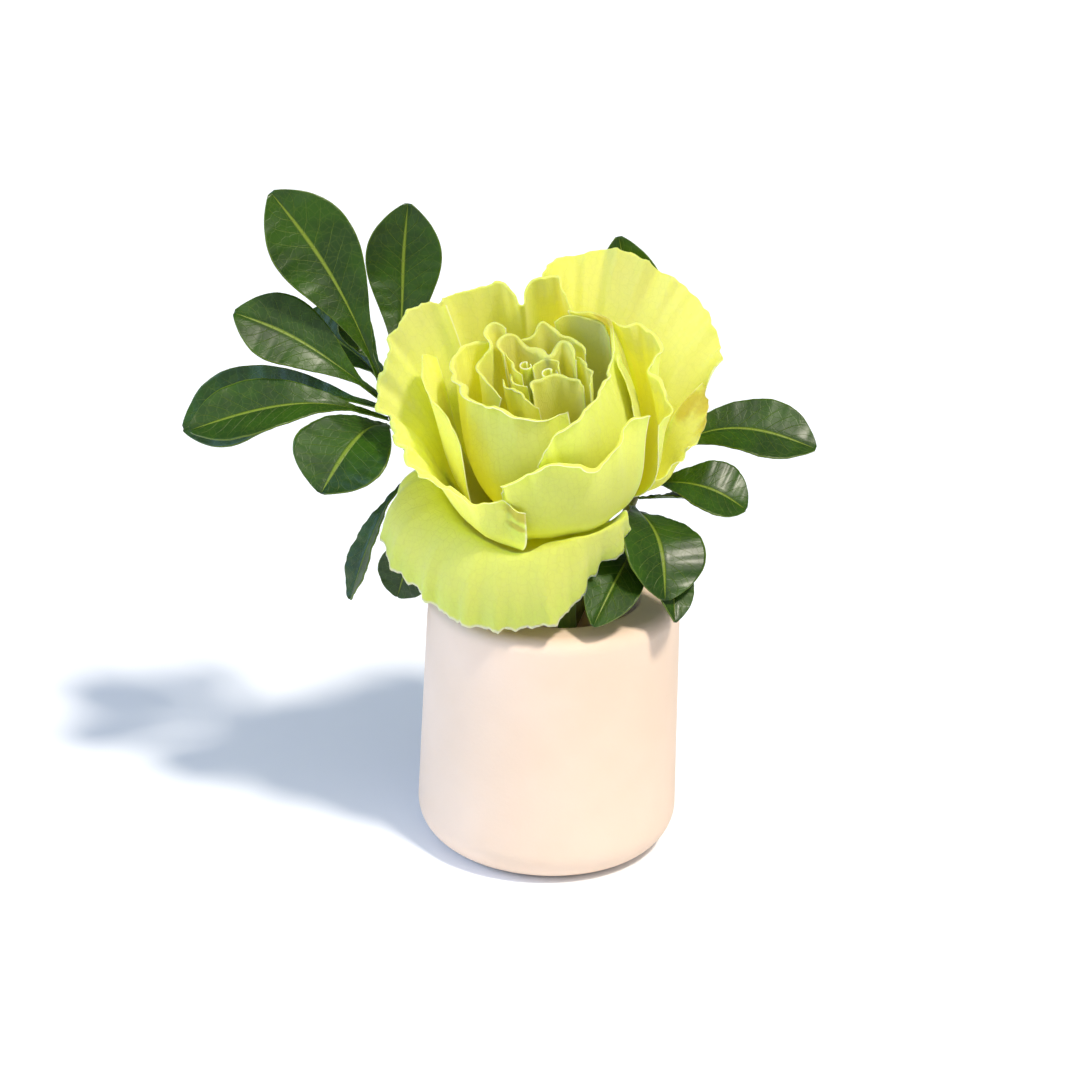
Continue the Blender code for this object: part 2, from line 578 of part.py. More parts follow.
def make_sprig(side_name, stem, radii, leaves):
    rod(f"{side_name}_sprig_stem", stem, radii, BARK, HOLDER)
    for number, (width, facing, midrib) in enumerate(leaves, 1):
        midrib = seated(midrib, stem, radii)
        sheet(f"{side_name}_leaf_{number:02d}", leaf_grid(width, facing, midrib), LEAF_THICK, LEAF, HOLDER)


# ---- Assembly -------------------------------------------------------------------------------------

COLLECTION = start()
CUTTERS = bpy.data.collections.new("cutters")
bpy.context.scene.collection.children.link(CUTTERS)

PORCELAIN = make_material("porcelain", (0.82, 0.76, 0.69), 0.55)
PETAL = make_material("petal", (0.70, 0.72, 0.14), 0.55)
SEPAL = make_material("sepal", (0.16, 0.30, 0.07), 0.55)
STEM = make_material("rose_stem", (0.17, 0.27, 0.07), 0.5)
BARK = make_material("sprig_stem", (0.25, 0.28, 0.12), 0.6)
LEAF = make_material("leaf", (0.03, 0.10, 0.02), 0.35)

HOLDER = bpy.data.objects.new("in_the_vase", None)
COLLECTION.objects.link(HOLDER)

make_vase()
make_rose_stem()
make_petals()
make_sepals()
make_sprig("left", LEFT_STEM, LEFT_STEM_RADII, LEFT_LEAVES)
make_sprig("right", RIGHT_STEM, RIGHT_STEM_RADII, RIGHT_LEAVES)
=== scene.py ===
"""A cut rose and two sprigs of glossy leaves in a squat ceramic vase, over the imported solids."""

import math

import bpy
import numpy as np
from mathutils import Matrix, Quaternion, Vector


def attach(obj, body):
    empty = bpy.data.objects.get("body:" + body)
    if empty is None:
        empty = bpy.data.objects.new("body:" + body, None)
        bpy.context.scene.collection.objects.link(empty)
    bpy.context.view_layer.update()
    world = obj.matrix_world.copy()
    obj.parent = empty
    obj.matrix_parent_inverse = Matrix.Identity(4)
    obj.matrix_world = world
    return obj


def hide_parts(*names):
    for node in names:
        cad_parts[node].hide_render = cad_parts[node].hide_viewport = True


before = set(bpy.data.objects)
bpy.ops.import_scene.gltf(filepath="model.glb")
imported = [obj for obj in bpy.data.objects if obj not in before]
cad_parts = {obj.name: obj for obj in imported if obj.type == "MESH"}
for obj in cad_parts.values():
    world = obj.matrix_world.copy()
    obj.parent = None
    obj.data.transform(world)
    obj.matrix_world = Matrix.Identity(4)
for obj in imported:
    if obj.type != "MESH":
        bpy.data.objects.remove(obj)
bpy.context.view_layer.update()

# ---- Camera and floor -----------------------------------------------------------------------------
# The set is a plain pale floor seen from a little above, with the vase's foot at its middle. The camera
# is a long lens that stands in front of the vase and leans over by a couple of degrees.

CAMERA_PLACE = (-0.0047, -0.7957, 0.4293)
CAMERA_DIP = 22.9  # degrees below level
CAMERA_ROLL = 2.07

camera = bpy.data.objects.new("camera", bpy.data.cameras.new("camera"))
bpy.context.scene.collection.objects.link(camera)
camera.location = CAMERA_PLACE
camera.data.sensor_width = 36.0
camera.data.lens = 100.0
camera.data.clip_start = 0.05
camera.rotation_mode = "QUATERNION"
dip = math.radians(CAMERA_DIP)
level = Vector((0, math.cos(dip), -math.sin(dip))).to_track_quat("-Z", "Y")
camera.rotation_quaternion = level @ Quaternion((0, 0, 1), math.radians(CAMERA_ROLL))
bpy.context.scene.camera = camera


class Wire:
    """A number that varies over a surface. Arithmetic on it adds Math nodes to its paint."""

    def __init__(self, paint, socket):
        self.paint = paint
        self.socket = socket

    def math(self, operation, *values):
        return self.paint.wire("ShaderNodeMath", {"operation": operation}, dict(enumerate(values)))

    def __add__(self, other):
        return self.math("ADD", self, other)

    def __radd__(self, other):
        return self.math("ADD", other, self)

    def __sub__(self, other):
        return self.math("SUBTRACT", self, other)

    def __rsub__(self, other):
        return self.math("SUBTRACT", other, self)

    def __mul__(self, other):
        return self.math("MULTIPLY", self, other)

    def __rmul__(self, other):
        return self.math("MULTIPLY", other, self)

    def __abs__(self):
        return self.math("ABSOLUTE", self)

    def least(self, other):
        return self.math("MINIMUM", self, other)

    def sine(self):
        return self.math("SINE", self)

    def step(self, low, high):
        """0 below low, 1 above high, smooth between. With low above high it falls instead."""
        ends = {0: self, 1: min(low, high), 2: max(low, high)}
        shaped = self.paint.wire("ShaderNodeMapRange", {"interpolation_type": "SMOOTHSTEP"}, ends)
        return 1 - shaped if low > high else shaped


class Paint:
    """A material and its Principled shader. What is the same all over sits on the shader's own sockets."""

    def __init__(self, name, constants):
        self.material = bpy.data.materials.new(name)
        self.material.use_nodes = True
        self.nodes = self.material.node_tree.nodes
        self.links = self.material.node_tree.links
        self.shader = self.nodes["Principled BSDF"]
        self.set(self.shader, constants)

    def set(self, node, inputs):
        for key, value in inputs.items():
            socket = node.inputs[key]
            if isinstance(value, Wire):
                self.links.new(value.socket, socket)
            elif isinstance(value, bpy.types.NodeSocket):
                self.links.new(value, socket)
            elif isinstance(value, tuple) and socket.type == "RGBA":
                socket.default_value = (*value, 1.0)
            else:
                socket.default_value = value

    def node(self, kind, settings, inputs):
        made = self.nodes.new(kind)
        for key, value in settings.items():
            setattr(made, key, value)
        self.set(made, inputs)
        return made

    def wire(self, kind, settings, inputs, output=0):
        return Wire(self, self.node(kind, settings, inputs).outputs[output])

    def mix(self, share, first, second):
        """One colour, turning into another where share goes from 0 to 1."""
        inputs = {0: share, 6: first, 7: second}
        return self.node("ShaderNodeMix", {"data_type": "RGBA"}, inputs).outputs[2]

    def noise(self, place, scale, detail=3.0):
        return self.wire("ShaderNodeTexNoise", {}, {"Vector": place, "Scale": scale, "Detail": detail})

    def cells(self, place, scale):
        """How far it is to the nearest wall of a net of cells."""
        inputs = {"Vector": place, "Scale": scale}
        return self.wire("ShaderNodeTexVoronoi", {"feature": "DISTANCE_TO_EDGE"}, inputs)

    def object_place(self):
        return self.node("ShaderNodeTexCoord", {}, {}).outputs["Object"]

    def across_and_along(self):
        """A sheet's own two measures, from 0 to 1: across it, and along it from foot to rim."""
        uv = self.node("ShaderNodeUVMap", {"uv_map": "sheet"}, {}).outputs[0]
        parts = self.node("ShaderNodeSeparateXYZ", {}, {0: uv})
        return Wire(self, parts.outputs[0]), Wire(self, parts.outputs[1])

    def stretched(self, place, scale):
        return self.node("ShaderNodeMapping", {}, {"Vector": place, "Scale": scale}).outputs[0]

    def bump(self, height, distance):
        made = self.node("ShaderNodeBump", {}, {"Height": height, "Distance": distance})
        self.links.new(made.outputs[0], self.shader.inputs["Normal"])


def tone(red, green, blue):
    """A colour given as 0 to 255 on a screen, as the shader wants it."""
    return tuple((value / 255) ** 2.2 for value in (red, green, blue))


def finish_piece(piece, node, paints):
    """The paints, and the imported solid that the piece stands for."""
    for paint in paints:
        piece.data.materials.append(paint.material)
    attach(piece, "root")
    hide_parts(node)


FLOOR_SIDE = 12.0

floor_paint = Paint("pale_floor", {"Base Color": tone(242, 247, 254), "Roughness": 0.9})
bpy.ops.mesh.primitive_plane_add(size=FLOOR_SIDE)
floor = bpy.context.object
floor.name = "floor"
floor.data.materials.append(floor_paint.material)

# ---- The vase -------------------------------------------------------------------------------------
# A squat pot with straight sides, a rounded foot and a small rounded shoulder round an open mouth. It is
# cast in white clay and left with a dry, matte glaze, a little uneven to the touch.

MM = 0.001
VASE_RADIUS = 38.2
VASE_HEIGHT = 77.5
VASE_TAPER = 0.025  # how much the radius shrinks for each millimetre up the wall
VASE_WALL = 4.0
FOOT_ROUND = 11.0
SHOULDER_ROUND = 4.5
MOUTH_RADIUS = 25.0
MOUTH_ROUND = 1.5
INNER_ROUND = 3.0
FOOT_FLAT = 12.0  # the radius out to which the foot and the inside floor have an extra ring
VASE_SIDES = 192


def arc(centre, radius, start_angle, end_angle, steps):
    """Points (across, up) on part of a circle, with the angles in degrees from +across towards +up."""
    angles = np.radians(np.linspace(start_angle, end_angle, steps + 1))
    return [(centre[0] + radius * math.cos(a), centre[1] + radius * math.sin(a)) for a in angles]


def vase_profile():
    """Half the vase's section, from the lip down the outside and back up the inside."""
    top = VASE_RADIUS - VASE_TAPER * (VASE_HEIGHT - FOOT_ROUND)
    under = VASE_HEIGHT - VASE_WALL - MOUTH_ROUND
    points = arc((MOUTH_RADIUS + MOUTH_ROUND, VASE_HEIGHT - MOUTH_ROUND), MOUTH_ROUND, 180, 90, 6)
    points += arc((top - SHOULDER_ROUND, VASE_HEIGHT - SHOULDER_ROUND), SHOULDER_ROUND, 90, 0, 12)
    wall_top, wall_foot = VASE_HEIGHT - SHOULDER_ROUND, FOOT_ROUND
    for share in np.linspace(0, 1, 14)[1:-1]:
        height = wall_top + (wall_foot - wall_top) * share
        points.append((VASE_RADIUS - VASE_TAPER * (height - FOOT_ROUND), height))
    points += arc((VASE_RADIUS - FOOT_ROUND, FOOT_ROUND), FOOT_ROUND, 0, -90, 16)
    points += [(FOOT_FLAT, 0), (0, 0), (0, VASE_WALL), (FOOT_FLAT, VASE_WALL)]
    points += arc((VASE_RADIUS - FOOT_ROUND, FOOT_ROUND), FOOT_ROUND - VASE_WALL, -90, 0, 8)
    points += arc((top - VASE_WALL - INNER_ROUND, under - INNER_ROUND), INNER_ROUND, 0, 90, 5)
    return points + [(MOUTH_RADIUS, under)]


def turned(name, profile, sides):
    """A closed solid turned about Z from a closed half section."""
    outline = np.array(profile)
    turns = np.linspace(0, math.tau, sides, endpoint=False)
    verts, rings = [], []
    for across, height in outline:
        if across < 1e-6:
            rings.append([len(verts)] * sides)
            verts.append((0, 0, height * MM))
            continue
        rings.append(list(range(len(verts), len(verts) + sides)))
        verts += [(across * math.cos(t) * MM, across * math.sin(t) * MM, height * MM) for t in turns]
    faces = []
    for upper, lower in zip(rings, rings[1:] + rings[:1]):
        for i in range(sides):
            j = (i + 1) % sides
            corners = (upper[i], lower[i], lower[j], upper[j])
            face = [v for k, v in enumerate(corners) if v != corners[k - 1]]
            if len(face) > 2:
                faces.append(face)
    mesh = bpy.data.meshes.new(name)
    mesh.from_pydata(verts, [], faces)
    mesh.shade_smooth()
    mesh.set_sharp_from_angle(angle=math.radians(50))
    piece = bpy.data.objects.new(name, mesh)
    bpy.context.scene.collection.objects.link(piece)
    return piece


porcelain = Paint("dry_white_glaze", {
    "Specular IOR Level": 0.35, "Subsurface Weight": 0.08, "Subsurface Radius": (0.004, 0.003, 0.002),
    "Subsurface Scale": 1.0,
})
place = porcelain.object_place()
cloud = porcelain.noise(place, 28.0)
speck = porcelain.noise(place, 900.0)
porcelain.set(porcelain.shader, {
    "Base Color": porcelain.mix(cloud.step(0.3, 0.75), tone(228, 204, 182), tone(234, 211, 191)),
    "Roughness": 0.52 + 0.16 * cloud,
})
porcelain.bump(cloud * 0.7 + speck * 0.12, 0.0006)
vase = turned("vase_body", vase_profile(), VASE_SIDES)
finish_piece(vase, "vase", [porcelain])

# ---- The petals -----------------------------------------------------------------------------------
# Thin, soft sheets that spring from the receptacle inside the bloom. They crowd in folds and scrolls in
# the heart, cup round it in the middle, and turn back on the outside, with waved and finely toothed rims.

# The bloom leans, and a petal's points are given about its own axis: azimuth from the front round to the
# right, distance from the axis, and height above the foot of the receptacle's dome.
FLOWER_FOOT = (0.0, -6.0, 107.0)
LEAN_FORWARD = 15.0
LEAN_LEFT = 8.0

flower_up = np.array([-math.sin(math.radians(LEAN_LEFT)), -math.sin(math.radians(LEAN_FORWARD)), 1.0])
flower_up /= np.linalg.norm(flower_up)
flower_front = np.array([0, -1, 0]) - flower_up * -flower_up[1]
flower_front /= np.linalg.norm(flower_front)
flower_right = np.cross(flower_up, flower_front)


def from_bloom(points):
    """Right, front and height from the bloom's foot in millimetres, as places in metres."""
    return (np.asarray(points, float) @ np.array([flower_right, flower_front, flower_up]) + FLOWER_FOOT) * MM


def squared(azimuth, radius, height):
    """Azimuth in degrees, radius and height, as right, front and height."""
    turn = np.radians(azimuth)
    return np.stack([radius * np.sin(turn), radius * np.cos(turn), height * np.ones_like(turn)], axis=-1)


def spline(knots, values, places):
    """The natural cubic spline through the values at the knots, read at the places."""
    knots, places = np.asarray(knots, float), np.asarray(places, float)
    values = np.asarray(values, float)
    flat = values.reshape(len(knots), -1)
    step = np.diff(knots)
    slope = np.diff(flat, axis=0) / step[:, None]
    system = np.eye(len(knots))
    bends = np.zeros_like(flat)
    for i in range(1, len(knots) - 1):
        system[i, i - 1 : i + 2] = step[i - 1], 2 * (step[i - 1] + step[i]), step[i]
        bends[i] = 6 * (slope[i] - slope[i - 1])
    bends = np.linalg.solve(system, bends)
    span = np.clip(np.searchsorted(knots, places, side="right") - 1, 0, len(step) - 1)
    b = ((places - knots[span]) / step[span])[:, None]
    a = 1 - b
    curve = a * flat[span] + b * flat[span + 1]
    curve += ((a**3 - a) * bends[span] + (b**3 - b) * bends[span + 1]) * step[span][:, None] ** 2 / 6
    return curve.reshape((len(places),) + values.shape[1:])


def spline_across(knots, net, places):
    """The same, for each row of a net of points."""
    return np.moveaxis(spline(knots, np.moveaxis(net, 1, 0), places), 0, 1)


def travel(points):
    """How far along a line each of its points lies, from 0 to 1."""
    run = np.concatenate([[0], np.cumsum(np.linalg.norm(np.diff(points, axis=0), axis=1))])
    return run / run[-1]


FINER = 1.9  # how many more waves each octave has than the last
FAINTER = 1.6  # and how many times smaller they are
WAVES_PEAK = 1.7


def waves(seed, places, coarse, octaves=4):
    """A smooth random line, roughly from -1 to 1, with about `coarse` waves over its length."""
    draw = np.random.RandomState(seed)
    line = np.zeros_like(places)
    for octave in range(octaves):
        pitch = coarse * FINER**octave * draw.uniform(0.8, 1.2)
        line += np.sin(math.tau * (places * pitch + draw.uniform())) / FAINTER**octave
    return line / WAVES_PEAK


def sheet(name, grid, thickness, paints, node, marks=None):
    """A thin solid on a grid of places in metres, foot row first, with its own measures as a UV map."""
    rows, columns = grid.shape[:2]
    mesh = bpy.data.meshes.new(name)
    number = np.arange(rows * columns).reshape(rows, columns)
    corners = np.stack([number[:-1, :-1], number[:-1, 1:], number[1:, 1:], number[1:, :-1]], axis=-1)
    mesh.from_pydata(grid.reshape(-1, 3).tolist(), [], corners.reshape(-1, 4).tolist())
    along, across = np.meshgrid(np.linspace(0, 1, rows), np.linspace(0, 1, columns), indexing="ij")
    measures = np.stack([across.reshape(-1), along.reshape(-1)], axis=-1)[corners.reshape(-1)]
    mesh.uv_layers.new(name="sheet").data.foreach_set("uv", measures.reshape(-1))
    if marks is not None:
        mesh.attributes.new("mark", "FLOAT", "POINT").data.foreach_set("value", marks.reshape(-1))
    mesh.shade_smooth()
    piece = bpy.data.objects.new(name, mesh)
    bpy.context.scene.collection.objects.link(piece)
    shell = piece.modifiers.new("thickness", "SOLIDIFY")
    shell.thickness = thickness * MM
    shell.offset = 0
    shell.material_offset = len(paints) - 1
    finish_piece(piece, node, paints)


PETAL_THICK = 0.3
PETAL_CLEAR = 1.2  # from the middle of one petal to the next, at least

DOME_RADIUS = 11.0
DOME_HEIGHT = 13.0
SEAT_GAP = 0.3
PETAL_SEAT = SEAT_GAP + PETAL_THICK / 2  # from the dome to the middle of a petal's thickness
BOWL_FLOOR = 17.0
BOWL_SINK = 0.48  # how much lower the bowl's floor lies for each millimetre of a layer's radius
SCROLL_START = 60.0
SCROLL_TURN = 430.0
SCROLL_DROP = 1.5

ROWS = (0.0, 0.3, 0.62, 0.85, 1.0)  # where the rows of points lie, from a petal's foot to its rim
NARROWING = (0.42, 0.78, 0.97, 1.0, 1.0)  # a petal's share of its full spread at each row
BOWL = (0.0, 0.72, 0.97, 1.0, 1.0)  # its distance from the axis, as a share of the layer's radius
RISE = (0.0, 0.05, 0.4, 0.76, 1.0)  # how much of the climb from the bowl's floor to the rim each row has made
FLARE = (0.0, 0.0, 0.06, 0.42, 1.0)  # how much of the way from the bowl to the rim it has gone
FOOT_SLOPES = (42.0, 88.0)  # where the first and last petals' feet sit on the dome, in degrees from its top
HEART_NARROWING = (0.43, 0.74, 0.93, 0.99, 1.0)
LOW_RIM = 15.0  # a rim below this height keeps its petal from bulging past it
FOOT_HELD = 0.05  # the share of a petal's length, from its foot, over which it can't be pushed freely


def petal_paint(name, deep, body, margin, edge):
    """Colour from the shaded foot to the rim, a fan of fine veins, a net between them, and a pale edge."""
    paint = Paint(name, {
        "Roughness": 0.55, "Specular IOR Level": 0.25, "Subsurface Weight": 0.8,
        "Subsurface Radius": (1.0, 0.9, 0.12), "Subsurface Scale": 0.004, "Sheen Weight": 0.1,
        "Sheen Roughness": 0.5,
    })
    across, along = paint.across_and_along()
    place = paint.object_place()
    drift = paint.noise(place, 60.0)
    rim_gap = (1 - along).least((across * 1.5).least((1 - across) * 1.5))
    colour = paint.mix((along + 0.25 * (drift - 0.5)).step(0.1, 0.85), deep, body)
    colour = paint.mix((rim_gap + 0.1 * (drift - 0.5)).step(0.16, 0.0) * 0.8, colour, margin)
    fan = abs(((across - 0.5) * 110.0 + 12.0 * drift).sine()).step(0.3, 0.0)
    net = paint.cells(place, 480.0).step(0.08, 0.0)
    veins = (fan * 0.3 + net * 0.4) * along.step(0.2, 0.7)
    colour = paint.mix(veins * 0.16, colour, tone(168, 168, 40))
    colour = paint.mix(rim_gap.step(0.012, 0.003) * 0.8, colour, edge)
    mark = paint.wire("ShaderNodeAttribute", {"attribute_name": "mark"}, {}, 2)
    stain = (mark + 0.5 * (paint.noise(place, 420.0) - 0.5)).step(0.3, 0.85)
    colour = paint.mix(stain * 0.7, colour, tone(158, 116, 46))
    paint.set(paint.shader, {"Base Color": colour})
    paint.bump(veins * 0.5 + drift * 1.2 - stain, 0.0002)
    return paint


inner_face = petal_paint(
    "petal_inner_face", tone(232, 236, 16), tone(240, 253, 104), tone(216, 246, 92), tone(248, 254, 190)
)
outer_face = petal_paint(
    "petal_outer_face", tone(228, 224, 40), tone(244, 236, 118), tone(228, 244, 104), tone(250, 252, 190)
)

# Each petal of the heart by its rim: right, front and height.
HEART_PETALS = (
    ((-8.9, -4.6, 42.5), (-8.3, -2.7, 42), (-6.3, -0.6, 42), (-3.9, 0.9, 42)),
    ((-9.4, -11.0, 46), (-8.3, -9.2, 45), (-7.9, -6.2, 44.5), (-7.1, -3.7, 44), (-5.4, -2.4, 43.5)),
    ((-1.8, -4.4, 43), (-0.8, -6.4, 43.5), (1.8, -7.4, 44), (4.6, -6.6, 44), (5.7, -4.2, 43)),
    (
        (-2.9, 5.2, 42), (-2.6, 3.0, 43), (-0.6, 1.4, 43), (3.2, 0.6, 43), (6.6, 1.2, 43), (9.8, 3.2, 43),
        (11.6, 5.4, 43),
    ),
    ((-11.0, -1.5, 43), (-9.8, 1.4, 42), (-7.4, 3.4, 42), (-5.3, 5.8, 42), (-3.5, 8.2, 42), (-0.8, 9.8, 41)),
    (
        (-10.2, -8.5, 46), (-9.6, -12.4, 48.5), (-7.6, -14.0, 49), (-4.9, -12.8, 45.2), (-2.4, -10.9, 44),
        (0.6, -9.3, 43.5), (3.4, -9.4, 44), (6.0, -10.8, 46.7), (8.2, -7.2, 47), (9.4, -2.4, 46),
    ),
    ((9.8, -5.8, 45), (12.2, -2.8, 45), (13.8, 0.6, 45), (13.8, 4.0, 45), (13.0, 7.4, 44)),
    (
        (-6.4, -16.4, 46), (-3.4, -16.0, 46.2), (-1.2, -16.4, 47.5), (1.0, -16.9, 49.8), (3.4, -16.2, 48),
        (6.8, -14.0, 46.2), (10.2, -10.4, 46), (12.2, -6.6, 45),
    ),
)
HEART_LIPS = (1.0, 1.0, 0.8, 1.6, 1.4, 2.8, 1.2, 1.8)
# Each scroll by its place to the right and the front, its inner and outer radius, and its height.
HEART_SCROLLS = ((-4.7, -7.0, 0.7, 1.9, 44.5), (1.8, -3.7, 0.9, 2.6, 43.5))

# The cupped and open petals: layer radius, waviness, tooth size, rolled lip, and the rim as azimuth,
# distance from the axis and height.
PETALS = (
    (18.0, 0.8, 0.35, 1.6, (
        (-147, 16, 50), (-141, 20, 52), (-135, 19.5, 50), (-125, 17, 48), (-114, 18.5, 46), (-104, 17.5, 45),
        (-92, 15, 44), (-80, 13.5, 42.5), (-64, 12.5, 41.5),
    )),
    (22.0, 0.4, 0.2, 0.6, ((166, 18, 50), (156, 20, 51), (142, 21, 51), (130, 22, 50), (118, 22, 48))),
    (24.0, 0.7, 0.3, 3.2, (
        (-138, 20, 46), (-126, 23, 47), (-112, 25, 47), (-98, 24.5, 45), (-84, 21.5, 45), (-66, 21.5, 45),
        (-46, 21, 45), (-30, 20.5, 45.5), (-14, 21.5, 44.5), (2, 21.5, 44), (20, 21, 44.5),
    )),
    (25.5, 0.6, 0.3, 1.8, (
        (156, 17.5, 47), (142, 18, 47.5), (126, 19, 47.5), (110, 20, 46.5), (90, 19.5, 46), (70, 19.5, 46),
        (50, 21, 47), (34, 24, 47), (20, 27, 45.5), (9, 28, 43.5), (1, 28.5, 40), (-5, 28.5, 34),
    )),
    (27.0, 0.3, 0.3, 0.4, ((98, 21, 46), (84, 22, 45), (76, 24, 42), (68, 26, 38))),
    (29.0, 0.9, 0.4, 2.8, (
        (62, 32, 38), (50, 31, 40), (38, 30, 34), (27, 30, 31), (12, 30, 34), (-3, 30, 34), (-13, 30, 31),
        (-22, 30, 29), (-27, 29, 24),
    )),
    (29.5, 0.4, 0.35, 0.5, (
        (-114, 32, 45), (-100, 33, 50), (-84, 32, 48), (-68, 31, 46), (-57, 30, 42), (-52, 30, 36),
    )),
    (31.0, 1.3, 0.8, 1.5, (
        (124, 22, 49), (116, 27, 50), (108, 32, 48), (100, 33, 45), (94, 30, 42.5), (88, 32, 39),
        (80, 34, 35), (72, 32, 31),
    )),
    (32.0, 1.5, 1.1, 2.2, (
        (-138, 38, 51), (-131, 40, 54), (-124, 41, 55), (-114, 42.5, 53), (-103, 44, 46), (-92, 45, 38.5),
        (-80, 42, 37), (-66, 41, 33), (-52, 40, 29.5), (-38, 35, 25), (-24, 32, 22.5), (-14, 31, 19),
    )),
    (33.0, 1.3, 0.7, 1.0, (
        (-130, 41, 50), (-144, 40, 52), (-156, 35, 54), (-166, 31, 54.5), (-171, 28, 50.5), (-178, 30, 54.5),
        (-187, 31, 56), (-196, 28, 54), (-203, 26, 49),
    )),
    (34.0, 1.2, 0.8, 0.8, ((112, 47, 25), (105, 46, 19), (98, 41, 13), (90, 30, 7), (84, 22, 5))),
    (35.0, 2.0, 0.7, 1.6, (
        (184, 36, 51), (173, 45, 52), (167, 50, 51), (159, 55, 50.5), (150, 57, 48), (140, 58, 44),
        (130, 59, 38), (120, 56, 33), (111, 47, 28),
    )),
    (36.0, 1.0, 0.5, 1.0, ((-112, 36, 26), (-130, 43, 30), (-150, 44, 32), (-170, 40, 30), (-186, 34, 25))),
)

# The front petal hangs: its rim, and the turn above it where it goes over.
FRONT_PETAL = (
    (
        (-99, 47, 3), (-90, 50, -4), (-78, 49, -9), (-64, 45, -13), (-50, 42, -15), (-34, 41, -16),
        (-18, 38, -15), (-2, 35, -13), (14, 29, -9), (30, 26, -4), (46, 26, 0), (54, 22, 3),
    ),
    (
        (-96, 31, 15), (-86, 32, 13), (-74, 32, 11), (-60, 31, 9), (-46, 30, 8), (-31, 29, 7), (-16, 28, 7),
        (-2, 27, 7), (13, 26, 8), (28, 24, 8), (42, 22, 9), (52, 19, 9),
    ),
)
FRONT_PETAL_MIDDLE = -24.0
FRONT_FOOT_SPREAD = 0.36
FRONT_RISE_SPREAD = 0.8
FRONT_FOOT_GAP = 0.9
FRONT_FOOT_HEIGHT = 0.5
FRONT_RISE_OUT = (0.45, 7.0)  # between the foot and the turn: a share of the turn's distance, and an addition
FRONT_RISE_UP = (0.3, -3.0)  # and the same of its height
FRONT_HANG_OUT = (0.62, 0.46)  # shares of the rim's and the turn's distances, past 1 so that it bows out
FRONT_HANG_TURN = 1.4  # and how much the turn's height counts between the two, beside the rim's

# Waviness and tooth size of the petals whose table doesn't give them.
SCROLL_EDGE = (0.05, 0.05)
HEART_EDGE = (0.9, 0.35)
FRONT_EDGE = (1.5, 1.9)


def dome_height(radius):
    share = radius / (DOME_RADIUS + PETAL_SEAT)
    return (DOME_HEIGHT + PETAL_SEAT) * np.sqrt(np.clip(1 - share**2, 0, 1))


def heart_net(rim):
    """Rows for a petal of the heart: upright, drawn in evenly towards its foot on the dome."""
    rim = np.array(rim, float)
    net = []
    foot = dome_height(np.hypot(*(rim[:, :2] * HEART_NARROWING[0]).T))
    for row, share in zip(ROWS, HEART_NARROWING):
        place = rim * (share, share, 1)
        place[:, 2] = foot + (rim[:, 2] - foot) * row
        net.append(place)
    return np.array(net)


def scroll_rim(right, front, inner, outer, height):
    """The rim of a petal rolled up into a scroll, a little over one turn."""
    rim = []
    for t in np.linspace(0, 1, 10):
        turn = math.radians(SCROLL_START + SCROLL_TURN * t)
        radius = inner + (outer - inner) * t
        place = (right + radius * math.sin(turn), front + radius * math.cos(turn), height - SCROLL_DROP * t)
        rim.append(place)
    return rim


def petal_net(layer, rim, foot_slope):
    """Rows of points, foot to rim, for a petal that springs from the dome, cups the ball, then leaves it."""
    rim = np.array(rim, float)
    middle = (rim[0, 0] + rim[-1, 0]) / 2
    foot_radius = (DOME_RADIUS + PETAL_SEAT) * math.sin(math.radians(foot_slope))
    foot_height = (DOME_HEIGHT + PETAL_SEAT) * math.cos(math.radians(foot_slope))
    floor = BOWL_FLOOR - BOWL_SINK * layer
    widest = np.minimum(layer, rim[:, 1] + np.maximum(rim[:, 2] - LOW_RIM, 0))
    net = []
    for narrowing, bowl, rise, flare in zip(NARROWING, BOWL, RISE, FLARE):
        azimuth = middle + (rim[:, 0] - middle) * narrowing
        height = floor + (rim[:, 2] - floor) * rise
        radius = widest * bowl + (rim[:, 1] - widest * bowl) * flare
        if bowl == 0:
            height = np.full(len(rim), foot_height)
            radius = np.full(len(rim), foot_radius)
        net.append(squared(azimuth, radius, height))
    return np.array(net)


def front_petal_net():
    """Rows for the front petal: out under the ball, over the turn, and down to its rim."""
    rim, turn = (np.array(line, float) for line in FRONT_PETAL)
    off_middle = rim[:, 0] - FRONT_PETAL_MIDDLE
    foot = squared(
        FRONT_PETAL_MIDDLE + off_middle * FRONT_FOOT_SPREAD,
        np.full(len(rim), DOME_RADIUS + FRONT_FOOT_GAP),
        np.full(len(rim), FRONT_FOOT_HEIGHT),
    )
    rise = squared(
        FRONT_PETAL_MIDDLE + off_middle * FRONT_RISE_SPREAD,
        turn[:, 1] * FRONT_RISE_OUT[0] + FRONT_RISE_OUT[1],
        turn[:, 2] * FRONT_RISE_UP[0] + FRONT_RISE_UP[1],
    )
    hang = squared(
        (rim[:, 0] + turn[:, 0]) / 2,
        rim[:, 1] * FRONT_HANG_OUT[0] + turn[:, 1] * FRONT_HANG_OUT[1],
        (rim[:, 2] + turn[:, 2] * FRONT_HANG_TURN) / (1 + FRONT_HANG_TURN),
    )
    return np.array([foot, rise, squared(*turn.T), hang, squared(*rim.T)])


FINE_ROWS = 61
FINE_COLUMNS = 121
HEART_COLUMNS = 110
OUTER_COLUMNS = 220


def fine(net):
    net = spline_across(travel(net[-1]), net, np.linspace(0, 1, FINE_COLUMNS))
    return spline(ROWS, net, np.linspace(0, 1, FINE_ROWS))


